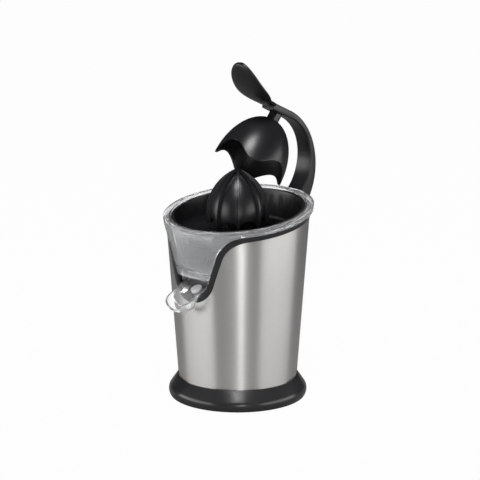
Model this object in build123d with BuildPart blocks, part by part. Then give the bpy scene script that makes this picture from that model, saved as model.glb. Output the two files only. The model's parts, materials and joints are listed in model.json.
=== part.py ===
from build123d import *
import os
from math import acos, atan2, cos, degrees, hypot, pi, radians, sin, sqrt, tan

# An electric citrus juicer with a press lever. Lengths are in millimetres and angles in degrees.
# The origin is on the floor under the middle of the base. +Z is up, the spout points to -Y and the
# lever's hinge is behind the body at +Y. The lever stands raised, where its spring holds it.

# Play
seat_gap = 0.05
running_gap = 0.05
loose_gap = 0.4

# Base ring, base plate and feet
base_radius = 80.0
base_height = 25.0
base_edge = 7.5
base_round = 10.4
ring_lift = 1.5
ring_wall = 2.6
lip_depth = 4.0
lip_wall = 1.4
ledge_width = 4.2
flange_wall = 3.0
plate_wall = 2.5
foot_radius = 8.0
foot_height = 3.0
foot_band = 6.0
foot_web = 1.2
foot_ring = 47.0
foot_stud = 2.6
foot_barb = 1.0
foot_barb_height = 2.0
vent_ring = 30.0
vent_length = 16.0
vent_width = 4.0
vent_count = 14

# Steel body, its sloped top edge and its front notch
body_radius = 68.6
shell_wall = 0.8
rim_height = 220.4
rim_slope = 7.18
rim_radius = 86.4
rim_lap = 3.588
rim_flare = 7.4
edge_drop = 12.4
notch_drop = 23.0
notch_round = 30.5
shoulder_radius = 32.5
shoulder_share = 0.8058
trim_width = 6.0
trim_proud = 0.8

# Inner housing
liner_wall = 2.0
deck_height = 148.0
deck_wall = 3.0
collar_radius = 8.6
collar_share = 0.4755
boss_radius = 11.0
boss_drop = 4.5
pocket_half = 27.0
pocket_depth = 13.0
pocket_drop = 21.0
post_ring = 58.0
post_radius = 4.5
pillar_radius = 4.5

# Juice collector
collector_gap = 0.5
collector_wall = 2.2
bowl_lift = 7.0
bowl_corner = 11.0
chimney_gap = 0.5
chimney_share = 0.5908
apron_rise = 6.0
ledge_depth = 1.6
ledge_height = 3.0
outlet_set = 1.5
outlet_length = 8.0
outlet_width = 26.0
nozzle_drop = 5.5
nozzle_wall = 2.0

# Strainer
strainer_wall = 1.8
strainer_share = 0.5043
strainer_corner = 14.0
strainer_flange = 2.4
flange_set = 0.8
hub_gap = 0.6
hub_hole = 6.0
slot_width = 2.2
slot_length = 16.0
slot_margin = 0.76
slot_count = 40

# Pour spout and its seal
pivot_set = 14.046
pivot_rise = 0.3
spout_slope = 24.5
spout_half = 19.4
spout_run = 31.5
spout_back = 7.0
spout_depth = 10.0
scoop_start = 20.0
scoop_depth = 19.0
spout_wall = 2.0
spout_dip = 6.0
spout_dip_radius = 14.0
pivot_radius = 2.5
pivot_ear = 4.6
cheek_wall = 2.2
cheek_radius = 5.0
cheek_gap = 0.4
seal_radius = 6.6
seal_wall = 3.0
seal_run = 8.0

# Juicing cone
cone_height = 58.9
cone_radius = 35.4
brim_share = 0.8285
cone_skirt = 3.5
scallop_radius = 12.0
scallop_height = 7.5
cone_bulge = 11.2
cone_wall = 3.0
rib_height = 4.5
rib_width = 2.6
rib_count = 8
cone_tip = 3.0
cone_lift = 3.2
socket_radius = 8.0

# Drive spindle, its bushes, spring and gear
shaft_radius = 4.0
hex_corner = 3.9
bush_wall = 2.5
bush_length = 13.0
collar_flange = 6.4
flange_thick = 2.0
press_travel = 2.0
spring_wire = 1.0
spring_radius = 5.2
spring_turns = 5
spring_room = 14.0
shaft_short = 27.4
switch_gap = 0.35

# Gear train: motor pinion, idler and output gear
pressure_angle = 25.0
pinion_teeth = 12
wheel_teeth = 48
fast_module = 1.0
slow_module = 1.25
idler_angle = 36.87
idler_rise = 3.0
tooth_play = 0.16
tooth_reach = 0.95
tooth_root = 1.25
output_face = 10.0
fast_face = 8.0
hub_radius = 9.0
shoulder_rise = 3.6
shoulder_width = 2.0
pinion_over = 1.0
clip_wall = 1.0
clip_radius = 11.5
clip_depth = 0.6
axle_radius = 3.0

# Gearbox
case_wall = 2.2
case_floor = 2.5
case_room = 30.5
cover_wall = 3.0
cover_boss = 3.0
pillar_drop = 14.0
tip_room = 2.0
ear_radius = 5.0
ear_angles = (165.0, 240.0, 320.0)

# Motor
core_width = 58.0
core_bore = 16.5
air_gap = 0.5
coil_radius = 25.0
coil_height = 8.0
coil_gap = 1.5
bracket_plate = 3.0
bracket_gap = 3.0
bearing_radius = 8.0
bearing_drop = 7.0
fan_room = 32.5
motor_shaft_radius = 3.0
motor_bush_wall = 2.4
bolt_spread = 49.0
bolt_radius = 2.0
fan_radius = 27.0
fan_height = 8.0
fan_hub = 6.5
fan_disc = 1.6
fan_blades = 9
blade_wall = 1.4
end_ring = 2.0

# Start switch under the spindle
switch_length = 20.0
switch_width = 6.4
switch_height = 9.0
button_radius = 1.5
button_rise = 2.6
button_sink = 3.0

# Screws
screw_radius = 1.5
screw_head = 3.2
screw_head_height = 2.0
screw_bite = 10.0
screw_sink = 0.6

# Lever, hinge and press dome
hinge_stand = 17.959
hinge_drop = 10.6
hinge_pin_radius = 3.0
pin_head = 1.6
hinge_hub = 10.5
hinge_half = 12.5
arm_top_half = 9.0
arm_top_height = 330.0
arm_rise = 26.0
bow_outer_set = 49.9
bow_outer_rise = 48.1
bow_outer = 73.0
bow_inner_set = 40.9
bow_inner_rise = 55.6
bow_inner = 54.0
arm_end_y = 50.0
arm_bevel = 1.2
tongue_length = 22.0
tongue_width = 11.0
tongue_wall = 4.6
ear_gap = 0.4
ear_wall = 4.0
ear_round = 9.0
ear_start = -60.0
ear_sweep = 150.0
bracket_wall = 4.0
bracket_over = 4.2
bracket_height = 42.0
bracket_screw_x = 11.0
low_screw_rise = 6.0
high_screw_rise = 20.0
torsion_wire = 1.4
torsion_radius = 4.5
torsion_turns = 4
spring_pocket = 8.0
spring_pocket_half = 6.0
dome_y = 16.5
dome_rise = 56.1
dome_tilt = 40.3
dome_radius = 42.0
dome_height = 65.0
dome_wall = 2.6
dome_arch = 14.5
stem_width = 12.0
stem_depth = 11.0
stem_fillet = 2.0
pad_width = 47.0
pad_wall = 9.5
pad_length = 76.0
pad_lift = 2.0
pad_root_half = 11.5
pad_rise = 22.0
pad_curl = 52.0
pad_widest = 0.45
pad_thinning = 0.4
pad_stations = (0, 0.12, 0.26, 0.42, 0.58, 0.72, 0.84, 0.93, 0.985)

# Cord inlet
gland_height = 12.0
gland_radius = 5.2
gland_bore = 3.2
gland_flange = 7.5
gland_flange_wall = 2.0

# Heights and places that follow from the sizes
shell_seat = base_height - lip_depth
body_flare = degrees(atan2(rim_radius - rim_lap - body_radius, rim_height - base_height))
notch_bottom = deck_height - notch_drop
deck_top = deck_height + deck_wall
well_depth = rim_height - deck_top
collar_top = deck_top + collar_share * well_depth
chimney_top = deck_top + chimney_share * well_depth
strainer_floor = deck_top + strainer_share * well_depth
cone_brim = deck_top + brim_share * well_depth
cone_apex = cone_brim + cone_height
shaft_top = cone_apex - shaft_short
bowl_base = deck_top + bowl_lift
apron_base = deck_height + apron_rise
edge_height = rim_height - edge_drop
body_top = rim_height + 2 * rim_radius * tan(radians(rim_slope))
liner_out = shell_wall + seat_gap
liner_in = liner_out + liner_wall
bowl_out = liner_in + collector_gap
bowl_in = bowl_out + collector_wall
bowl_floor = bowl_base + collector_wall
chimney_in = collar_radius + chimney_gap
chimney_out = chimney_in + collector_wall
ledge_drop = flange_set + strainer_flange
plate_top = foot_height + plate_wall
post_foot = plate_top + flange_wall
pocket_floor = deck_height - pocket_drop
cover_top = deck_height - pillar_drop
cover_base = cover_top - cover_wall
floor_top = cover_base - case_room
case_base = floor_top - case_floor
output_top = cover_base - shoulder_rise - loose_gap
output_low = output_top - output_face
clip_low = cover_top + cover_boss + loose_gap
hub_top = clip_low + clip_wall + loose_gap
boss_low = deck_height - boss_drop
flange_top = boss_low - loose_gap
flange_low = flange_top - flange_thick
spring_low = flange_low - spring_room
bush_radius = shaft_radius + running_gap + bush_wall
button_top = floor_top + switch_height + button_rise
shaft_low = button_top + switch_gap
slow_distance = slow_module * (pinion_teeth + wheel_teeth) / 2
fast_distance = fast_module * (pinion_teeth + wheel_teeth) / 2
idler_x = slow_distance * cos(radians(idler_angle))
idler_y = slow_distance * sin(radians(idler_angle))
motor_x = idler_x - fast_distance
motor_y = idler_y
fast_low = floor_top + idler_rise
fast_top = fast_low + fast_face
slow_tip = slow_module * (wheel_teeth / 2 + tooth_reach)
fast_tip = fast_module * (wheel_teeth / 2 + tooth_reach)
case_radius = slow_tip + tip_room + case_wall
idler_case_radius = fast_tip + tip_room + case_wall
hub_cap_top = chimney_top + seat_gap + strainer_wall
cone_base = cone_brim - cone_skirt
socket_low = hub_cap_top + cone_lift
core_top = case_base - bracket_plate - bracket_gap - coil_height
motor_low = plate_top + fan_room
core_low = motor_low + bracket_plate + bracket_gap + coil_height
core_height = core_top - core_low
hinge_z = rim_height - hinge_drop
bow_outer_z = hinge_z + bow_outer_rise
bow_inner_z = hinge_z + bow_inner_rise
dome_z = hinge_z + dome_rise
bracket_high = hinge_z + bracket_over
bracket_low = bracket_high - bracket_height
bracket_screw_low = bracket_low + low_screw_rise
bracket_screw_high = bracket_low + high_screw_rise


def wall_radius(height):
    """Outside radius of the steel body at a height."""
    return body_radius + (height - base_height) * tan(radians(body_flare))


def rim_line(height):
    """Outside radius of the clear rim and apron at a height."""
    return rim_radius - (rim_height - height) * tan(radians(rim_flare))


def sloped(height):
    """Plane parallel to the rim that crosses the body's axis at a height."""
    tilt = radians(rim_slope)
    return Plane(origin=(0, 0, height), x_dir=(1, 0, 0), z_dir=(0, -sin(tilt), cos(tilt)))


def turned(points):
    """Solid of revolution about the body's axis from a closed outline of radii and heights."""
    with BuildPart() as solid:
        with BuildSketch(Plane.XZ):
            with BuildLine():
                Polyline(*points, close=True)
            make_face()
        revolve(axis=Axis.Z)
    return solid.part


def wall_band(inner, outer, low, high):
    """Band along the body's wall, its faces set out from the steel's outside."""
    return turned(
        [
            (wall_radius(low) + inner, low),
            (wall_radius(low) + outer, low),
            (wall_radius(high) + outer, high),
            (wall_radius(high) + inner, high),
        ]
    )


def rods(radius, low, high, places=((0, 0),), bore=0):
    """Upright round bars, or tubes, at a set of places."""
    with BuildPart() as bars:
        with BuildSketch(Plane.XY.offset(low)):
            with Locations(*places):
                Circle(radius)
                if bore:
                    Circle(bore, mode=Mode.SUBTRACT)
        extrude(amount=high - low)
    return bars.part


def cross_rods(radius, near, far, y, z):
    """A round bar along X, and its mirror image, between two distances from the middle plane."""
    with BuildPart() as bars:
        with BuildSketch(Plane.YZ.offset(near)):
            with Locations((y, z)):
                Circle(radius)
        extrude(amount=far - near)
        mirror(about=Plane.YZ)
    return bars.part


def opening(inset):
    """Space above the sloped top edge and inside the front notch, drawn in by an inset."""
    slope = tan(radians(rim_slope))
    shoulder_reach = shoulder_share * wall_radius(edge_height)
    reach_depth = sqrt(wall_radius(edge_height) ** 2 - shoulder_reach ** 2)
    end_slope = atan2(shoulder_reach * slope, reach_depth)
    round_z = notch_bottom + notch_round
    center_x = shoulder_reach + shoulder_radius * sin(end_slope)
    center_z = edge_height - reach_depth * slope - shoulder_radius * cos(end_slope)
    span = hypot(center_x, center_z - round_z)
    lean = atan2(center_z - round_z, center_x) - acos((notch_round + shoulder_radius) / span)
    low_round = notch_round - inset
    high_round = shoulder_radius + inset
    bend_angle = (pi + lean + pi / 2 + end_slope) / 2
    low = (low_round * cos(lean), round_z + low_round * sin(lean))
    high = (center_x - high_round * cos(lean), center_z - high_round * sin(lean))
    bend = (center_x + high_round * cos(bend_angle), center_z + high_round * sin(bend_angle))
    end = (center_x - high_round * sin(end_slope), center_z + high_round * cos(end_slope))
    with BuildPart() as space:
        with BuildSketch(sloped(edge_height + inset)):
            Rectangle(4 * rim_radius, 4 * rim_radius)
        extrude(amount=rim_radius)
        with BuildSketch(Plane.XZ):
            with BuildLine():
                ThreePointArc((-low[0], low[1]), (0, notch_bottom + inset), low)
                Line(low, high)
                ThreePointArc(high, bend, end)
                Polyline(end, (end[0], body_top), (-end[0], body_top), (-end[0], end[1]))
                ThreePointArc((-end[0], end[1]), (-bend[0], bend[1]), (-high[0], high[1]))
                Line((-high[0], high[1]), (-low[0], low[1]))
            make_face()
        extrude(amount=2 * rim_radius)
    return space.part


def screws(seats, shank_length):
    """Round-headed screws, each with its head on a seat and its shank along the seat's direction."""
    with BuildPart() as group:
        for seat in seats:
            with BuildSketch(seat):
                Circle(screw_head)
            extrude(amount=-screw_head_height)
            with BuildSketch(seat):
                Circle(screw_radius)
            extrude(amount=shank_length)
    return group.part


def gear_face(teeth, module, first, is_gap):
    """Gear outline with a tooth, or a gap, centred on the first angle."""
    pitch = module * teeth / 2
    base = pitch * cos(radians(pressure_angle))
    root = pitch - module * tooth_root
    tip = pitch + module * tooth_reach
    start = max(base, root)
    middle = (start + tip) / 2
    lead = tan(radians(pressure_angle)) - radians(pressure_angle)
    half_tooth = pi / (2 * teeth) - tooth_play / (4 * pitch)
    step = 2 * pi / teeth
    shift = step / 2 if is_gap else 0

    def flank(radius):
        turn = acos(min(1, base / radius))
        return half_tooth + lead - (tan(turn) - turn)

    def spot(radius, angle):
        return (radius * cos(angle), radius * sin(angle))

    low, mid, high = flank(start), flank(middle), flank(tip)
    with BuildSketch() as outline:
        with BuildLine():
            for tooth in range(teeth):
                center = radians(first) + shift + tooth * step
                if base > root:
                    Line(spot(root, center - low), spot(start, center - low))
                ThreePointArc(spot(start, center - low), spot(middle, center - mid), spot(tip, center - high))
                Line(spot(tip, center - high), spot(tip, center + high))
                ThreePointArc(spot(tip, center + high), spot(middle, center + mid), spot(start, center + low))
                if base > root:
                    Line(spot(start, center + low), spot(root, center + low))
                Line(spot(root, center + low), spot(root, center + step - low))
        make_face()
    return outline.sketch


def toothed(outline, low, high, x, y):
    """A gear outline raised between two heights about an upright axis."""
    with BuildPart() as solid:
        with BuildSketch(Plane(origin=(x, y, low))):
            add(outline)
        extrude(amount=high - low)
    return solid.part


def coil(radius, wire, turns, start, direction, length):
    """A wire wound round a line."""
    with BuildPart() as spring:
        with BuildLine() as path:
            Helix(pitch=length / turns, height=length, radius=radius, center=start, direction=direction)
        with BuildSketch(Plane(origin=path.line @ 0, z_dir=path.line % 0)):
            Circle(wire / 2)
        sweep(path=path.line, is_frenet=True)
    return spring.part


def rear_holes(radius, places):
    """Round bars along Y through the rear wall."""
    with BuildPart() as bars:
        with BuildSketch(Plane.XZ):
            with Locations(*places):
                Circle(radius)
        extrude(amount=-2 * rim_radius)
    return bars.part


# Places that follow from the body's wall
spout_pivot_y = wall_radius(deck_height) - pivot_set
spout_pivot_z = deck_height + pivot_rise
outlet_y = spout_pivot_y - outlet_set
pocket_back = spout_pivot_y - pocket_depth
hinge_y = wall_radius(hinge_z) + hinge_stand
bow_outer_y = hinge_y - bow_outer_set
bow_inner_y = hinge_y - bow_inner_set
steel_edge = opening(0)
trim_edge = opening(trim_width)
apron_edge = opening(trim_width + loose_gap)

# Places of repeated features
post_places = [(post_ring * cos(k * pi / 2), post_ring * sin(k * pi / 2)) for k in range(4)]
ear_ring = case_radius + ear_radius - case_wall / 2
ear_places = [(ear_ring * cos(radians(a)), ear_ring * sin(radians(a))) for a in ear_angles]
idler_place = [(idler_x, idler_y)]
motor_place = [(motor_x, motor_y)]
bolt_half = bolt_spread / 2
bolt_places = [
    (motor_x + side * bolt_half, motor_y + end * bolt_half)
    for side in (-1, 1)
    for end in (-1, 1)
]
screw_hole = screw_radius + seat_gap
bracket_screw_places = [
    (side * bracket_screw_x, height) for side in (-1, 1) for height in (bracket_screw_low, bracket_screw_high)
]

# Base ring: a sloping foot whose lip holds the steel body and whose flange holds the base plate
ring_inside = wall_radius(shell_seat) - ledge_width
lip_in = wall_radius(base_height) + seat_gap
lip_out = lip_in + lip_wall
edge_middle = base_radius - base_round
lip_run = lip_out - edge_middle
lip_rise = base_height - base_edge
slope_end = atan2(lip_rise, lip_run) - acos(base_round / hypot(lip_run, lip_rise))
flare_radius = edge_middle + base_round * cos(slope_end)
flare_height = base_edge + base_round * sin(slope_end)
base_foot_radius = edge_middle + sqrt(base_round ** 2 - (base_edge - ring_lift) ** 2)
groove_in = ring_inside + ring_wall
groove_out = base_foot_radius - ring_wall
groove_top = flare_height - ring_wall
with BuildPart() as base_ring:
    with BuildSketch(Plane.XZ):
        with BuildLine():
            Polyline(
                (base_foot_radius, ring_lift),
                (ring_inside, ring_lift),
                (ring_inside, shell_seat),
                (lip_in, shell_seat),
                (lip_in, base_height),
                (lip_out, base_height),
                (flare_radius, flare_height),
            )
            ThreePointArc(
                (flare_radius, flare_height), (base_radius, base_edge), (base_foot_radius, ring_lift)
            )
        make_face()
        with BuildLine():
            Polyline(
                (groove_in, ring_lift),
                (groove_out, ring_lift),
                (groove_out, groove_top),
                (groove_in, groove_top),
                close=True,
            )
        make_face(mode=Mode.SUBTRACT)
    revolve(axis=Axis.Z)
    add(rods(groove_in, plate_top, post_foot, bore=post_ring - post_radius - ring_lift))
    add(rods(screw_hole, plate_top, post_foot, post_places), mode=Mode.SUBTRACT)
    with BuildSketch(Plane.XZ.offset(-ring_inside)):
        with Locations((0, gland_height)):
            Circle(gland_radius + seat_gap)
    extrude(amount=ring_inside - base_radius - gland_flange, mode=Mode.SUBTRACT)
base_ring.part.label = "base_ring"

with BuildPart() as base_plate:
    with BuildSketch(Plane.XY.offset(foot_height)):
        Circle(ring_inside - loose_gap)
        with Locations(*post_places):
            Circle(screw_hole, mode=Mode.SUBTRACT)
        with PolarLocations(foot_ring, 4, start_angle=45):
            Circle(foot_stud + seat_gap, mode=Mode.SUBTRACT)
        with PolarLocations(vent_ring, vent_count):
            SlotOverall(vent_length, vent_width, mode=Mode.SUBTRACT)
    extrude(amount=plate_wall)
base_plate.part.label = "base_plate"

foot_places = [(foot_ring * cos(pi / 4 + k * pi / 2), foot_ring * sin(pi / 4 + k * pi / 2)) for k in range(4)]
with BuildPart() as rubber_feet:
    add(rods(foot_ring + foot_band, 0, foot_web, bore=foot_ring - foot_band))
    add(rods(foot_radius, 0, foot_height, foot_places))
    add(rods(foot_stud, foot_height, plate_top, foot_places))
    add(rods(foot_stud + foot_barb, plate_top, plate_top + foot_barb_height, foot_places))
rubber_feet.part.label = "rubber_feet"

with BuildPart() as base_screws:
    base_screw_seats = [Plane(origin=(x, y, foot_height)) for x, y in post_places]
    add(screws(base_screw_seats, plate_wall + flange_wall + screw_bite))
base_screws.part.label = "base_screws"

with BuildPart() as cord_gland:
    with BuildSketch(Plane.XZ.offset(-ring_inside - loose_gap)):
        with Locations((0, gland_height)):
            Circle(gland_radius)
            Circle(gland_bore, mode=Mode.SUBTRACT)
    extrude(amount=ring_inside + loose_gap - base_radius - gland_flange_wall)
    with BuildSketch(Plane.XZ.offset(-base_radius)):
        with Locations((0, gland_height)):
            Circle(gland_flange)
            Circle(gland_bore, mode=Mode.SUBTRACT)
    extrude(amount=-gland_flange_wall)
cord_gland.part.label = "cord_gland"

# Steel body and the dark band along its edge
with BuildPart() as steel_shell:
    add(wall_band(-shell_wall, 0, shell_seat, body_top))
    add(steel_edge, mode=Mode.SUBTRACT)
    add(rear_holes(screw_hole, bracket_screw_places), mode=Mode.SUBTRACT)
steel_shell.part.label = "steel_shell"

with BuildPart() as shell_trim:
    add(wall_band(-shell_wall, trim_proud, notch_bottom - trim_width, body_top))
    add(steel_edge, mode=Mode.INTERSECT)
    add(trim_edge, mode=Mode.SUBTRACT)
shell_trim.part.label = "shell_trim"

# Inner housing: liner, deck, front pocket, posts down to the base and pillars down to the gearbox
with BuildPart() as pocket_core:
    add(turned([
        (0, pocket_floor - liner_wall),
        (wall_radius(pocket_floor - liner_wall) - liner_out - liner_wall / 2, pocket_floor - liner_wall),
        (wall_radius(deck_top) - liner_out - liner_wall / 2, deck_top),
        (0, deck_top),
    ]))
    with BuildSketch(Plane.XY.offset(pocket_floor - liner_wall)):
        with Locations((0, -pocket_back - rim_radius / 2 + liner_wall)):
            Rectangle(2 * (pocket_half + liner_wall), rim_radius)
    extrude(amount=deck_top - pocket_floor + liner_wall, mode=Mode.INTERSECT)
with BuildPart() as pocket_space:
    with BuildSketch(Plane.XY.offset(pocket_floor)):
        with Locations((0, -pocket_back - rim_radius / 2)):
            Rectangle(2 * pocket_half, rim_radius)
    extrude(amount=deck_top - pocket_floor)
with BuildPart() as deck:
    add(turned([
        (0, deck_height),
        (wall_radius(deck_height) - liner_out - liner_wall / 2, deck_height),
        (wall_radius(deck_top) - liner_out - liner_wall / 2, deck_top),
        (0, deck_top),
    ]))
    add(pocket_core.part)
    add(pocket_space.part, mode=Mode.SUBTRACT)
with BuildPart() as inner_housing:
    add(wall_band(-liner_in, -liner_out, shell_seat, body_top))
    add(trim_edge, mode=Mode.SUBTRACT)
    add(deck.part)
    add(rods(post_radius, post_foot, deck_height, post_places[:3]))
    add(rods(post_radius, post_foot, pocket_floor - liner_wall / 2, post_places[3:]))
    add(rods(pillar_radius, cover_top, deck_height, ear_places))
    add(rods(boss_radius, boss_low, deck_height))
    add(rods(collar_radius, deck_height, collar_top))
    add(rods(bush_radius + seat_gap, boss_low, collar_top), mode=Mode.SUBTRACT)
    add(rods(screw_hole, post_foot, post_foot + screw_bite, post_places), mode=Mode.SUBTRACT)
    add(rods(screw_hole, cover_top, cover_top + screw_bite, ear_places), mode=Mode.SUBTRACT)
    add(rear_holes(screw_hole, bracket_screw_places), mode=Mode.SUBTRACT)
inner_housing.part.label = "inner_housing"

# Clear juice collector: bowl, sloped rim, skirt and front apron in one moulding
nozzle_half = outlet_width / 2 + nozzle_wall
nozzle_length = outlet_length + 2 * nozzle_wall
with BuildPart() as rim_flange:
    add(turned([
        (wall_radius(edge_height) - bowl_in, edge_height),
        (rim_line(edge_height), edge_height),
        (rim_line(body_top), body_top),
        (wall_radius(body_top) - bowl_in, body_top),
    ]))
    split(bisect_by=sloped(rim_height - collector_wall), keep=Keep.TOP)
with BuildPart() as skirt:
    add(turned([
        (rim_line(apron_base) - collector_wall, apron_base),
        (rim_line(apron_base), apron_base),
        (rim_line(body_top), body_top),
        (rim_line(body_top) - collector_wall, body_top),
    ]))
    add(apron_edge, mode=Mode.INTERSECT)
with BuildPart() as strainer_ledge:
    add(wall_band(-bowl_in - ledge_depth, -bowl_in + collector_wall / 2, deck_top, body_top))
    split(bisect_by=sloped(rim_height - ledge_drop), keep=Keep.BOTTOM)
    split(bisect_by=sloped(rim_height - ledge_drop - ledge_height), keep=Keep.TOP)
with BuildPart() as outlet:
    with BuildSketch(Plane.XY.offset(bowl_base - nozzle_drop)):
        with Locations((0, -outlet_y)):
            Rectangle(outlet_width, outlet_length)
    extrude(amount=nozzle_drop + collector_wall)
cheek_near = spout_half + cheek_gap
cheek_far = cheek_near + cheek_wall
with BuildPart() as cheeks:
    with BuildSketch(Plane.YZ.offset(cheek_near)):
        with Locations((-spout_pivot_y, spout_pivot_z)):
            Circle(cheek_radius)
        with Locations((-spout_pivot_y, (spout_pivot_z + bowl_floor) / 2)):
            Rectangle(2 * cheek_radius, bowl_floor - spout_pivot_z)
    extrude(amount=cheek_wall)
    mirror(about=Plane.YZ)
with BuildPart() as juice_collector:
    with BuildSketch(Plane.XZ) as bowl_section:
        with BuildLine():
            Polyline(
                (chimney_in, bowl_base),
                (wall_radius(bowl_base) - bowl_out, bowl_base),
                (wall_radius(body_top) - bowl_out, body_top),
                (wall_radius(body_top) - bowl_in, body_top),
                (wall_radius(bowl_floor) - bowl_in, bowl_floor),
                (chimney_out, bowl_floor),
                (chimney_out, chimney_top),
                (chimney_in, chimney_top),
                close=True,
            )
        make_face()
        bowl_outside = (wall_radius(bowl_base) - bowl_out, bowl_base, 0)
        fillet(bowl_section.vertices().sort_by_distance(bowl_outside)[0], radius=bowl_corner)
        bowl_inside = (wall_radius(bowl_floor) - bowl_in, bowl_floor, 0)
        fillet(bowl_section.vertices().sort_by_distance(bowl_inside)[0], radius=bowl_corner - collector_wall)
    revolve(axis=Axis.Z)
    add(rim_flange.part)
    add(strainer_ledge.part)
    add(skirt.part)
    split(bisect_by=sloped(rim_height), keep=Keep.BOTTOM)
    with BuildSketch(Plane.XY.offset(bowl_base - nozzle_drop)):
        with Locations((0, -outlet_y)):
            Rectangle(2 * nozzle_half, nozzle_length)
    extrude(amount=nozzle_drop + collector_wall)
    add(cheeks.part)
    add(outlet.part, mode=Mode.SUBTRACT)
    pivot_hole = pivot_radius + running_gap
    add(cross_rods(pivot_hole, cheek_near, cheek_far, -spout_pivot_y, spout_pivot_z), mode=Mode.SUBTRACT)
juice_collector.part.label = "juice_collector"

# Strainer: hangs on the collector's ledge and covers the chimney
strainer_out = bowl_in + ledge_depth + loose_gap
strainer_in = strainer_out + strainer_wall
sieve_floor = strainer_floor + strainer_wall
slot_outer = wall_radius(strainer_floor) - strainer_out - strainer_corner - slot_margin
hub_in = chimney_out + hub_gap
hub_out = hub_in + strainer_wall
with BuildPart() as strainer_rim:
    add(wall_band(-strainer_in, -bowl_in - loose_gap, deck_top, body_top))
    split(bisect_by=sloped(rim_height - ledge_drop + seat_gap), keep=Keep.TOP)
with BuildPart() as strainer:
    with BuildSketch(Plane.XZ) as basin_section:
        with BuildLine():
            Polyline(
                (hub_in, strainer_floor),
                (wall_radius(strainer_floor) - strainer_out, strainer_floor),
                (wall_radius(body_top) - strainer_out, body_top),
                (wall_radius(body_top) - strainer_in, body_top),
                (wall_radius(sieve_floor) - strainer_in, sieve_floor),
                (hub_out, sieve_floor),
                (hub_out, hub_cap_top),
                (hub_hole, hub_cap_top),
                (hub_hole, hub_cap_top - strainer_wall),
                (hub_in, hub_cap_top - strainer_wall),
                close=True,
            )
        make_face()
        basin_outside = (wall_radius(strainer_floor) - strainer_out, strainer_floor, 0)
        fillet(basin_section.vertices().sort_by_distance(basin_outside)[0], radius=strainer_corner)
        basin_inside = (wall_radius(sieve_floor) - strainer_in, sieve_floor, 0)
        inner_corner = strainer_corner - strainer_wall
        fillet(basin_section.vertices().sort_by_distance(basin_inside)[0], radius=inner_corner)
    revolve(axis=Axis.Z)
    add(strainer_rim.part)
    split(bisect_by=sloped(rim_height - flange_set), keep=Keep.BOTTOM)
    with BuildSketch(Plane.XY.offset(strainer_floor)):
        with PolarLocations(slot_outer - slot_length / 2, slot_count):
            SlotOverall(slot_length, slot_width)
    extrude(amount=strainer_wall, mode=Mode.SUBTRACT)
strainer.part.label = "strainer"

# Pour spout: a round-bottomed trough with a round end, hung on two stub pins
slope_angle = radians(spout_slope)
spout_out = (0, -cos(slope_angle), -sin(slope_angle))
spout_up = (0, -sin(slope_angle), cos(slope_angle))
spout_down = (0, sin(slope_angle), -cos(slope_angle))
spout_pivot = (0, -spout_pivot_y, spout_pivot_z)
spout_section = Plane(origin=spout_pivot, x_dir=(1, 0, 0), z_dir=spout_out)
spout_top = Plane(origin=spout_pivot, x_dir=(-1, 0, 0), z_dir=spout_up)
spout_end = spout_section.offset(spout_run)


def trough_arc(depth, wall):
    """Radius, centre height and half width of the trough's round section, drawn in by a wall."""
    radius = (spout_half ** 2 + depth ** 2) / (2 * depth)
    rise = radius - depth
    radius -= wall
    return radius, rise, sqrt(radius ** 2 - rise ** 2)


def trough_face(plane, depth, wall):
    """Section of the trough below its top edge."""
    radius, rise, half = trough_arc(depth, wall)
    with BuildSketch(plane) as section:
        with BuildLine():
            ThreePointArc((half, 0), (0, rise - radius), (-half, 0))
            Line((-half, 0), (half, 0))
        make_face()
    return section.sketch


def trough(wall, back):
    """Solid that fills the spout's trough and its deeper round end."""
    radius, rise, half = trough_arc(scoop_depth, wall)
    mid_angle = acos(rise / radius) / 2
    arc_middle = (radius * sin(mid_angle), rise - radius * cos(mid_angle))
    with BuildPart() as solid:
        extrude(trough_face(spout_section.offset(-back), spout_depth, wall), amount=back + scoop_start)
        shallow = trough_face(spout_section.offset(scoop_start), spout_depth, wall)
        deep = trough_face(spout_end, scoop_depth, wall)
        loft([shallow, deep])
        with BuildSketch(spout_end):
            with BuildLine():
                Line((0, 0), (half, 0))
                ThreePointArc((half, 0), arc_middle, (0, rise - radius))
                Line((0, rise - radius), (0, 0))
            make_face()
        revolve(axis=Axis(spout_end.origin, spout_down), revolution_arc=180)
    return solid.part


with BuildPart() as pour_spout:
    add(trough(0, spout_back))
    add(cross_rods(pivot_ear, spout_half - spout_wall, spout_half, -spout_pivot_y, spout_pivot_z))
    add(trough(spout_wall, spout_back - spout_wall), mode=Mode.SUBTRACT)
    with BuildSketch(spout_end):
        with Locations((0, spout_dip_radius - spout_dip)):
            Circle(spout_dip_radius)
    extrude(amount=2 * spout_half, mode=Mode.SUBTRACT)
    add(cross_rods(pivot_radius, spout_half - spout_wall, cheek_far, -spout_pivot_y, spout_pivot_z))
pour_spout.part.label = "pour_spout"

with BuildPart() as spout_seal:
    with BuildSketch(spout_top.offset(-spout_depth - spout_wall)):
        with Locations((0, seal_run)):
            Circle(seal_radius)
    extrude(amount=2 * spout_wall + seal_wall)
    add(trough(spout_wall + seat_gap, spout_back), mode=Mode.INTERSECT)
spout_seal.part.label = "spout_seal"

# Reaming cone: round core with upright blades, hollow below, with a six-sided socket
def cone_flank(radius, top):
    """Middle point of a cone's bulging flank, between its brim and the edge of its flat tip."""
    run = radius - cone_tip
    chord = hypot(run, top - cone_brim)
    bulge = cone_bulge * radius / cone_radius
    mid_x = (radius + cone_tip) / 2 + bulge * (top - cone_brim) / chord
    mid_z = (top + cone_brim) / 2 + bulge * run / chord
    return (mid_x, mid_z)


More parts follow.
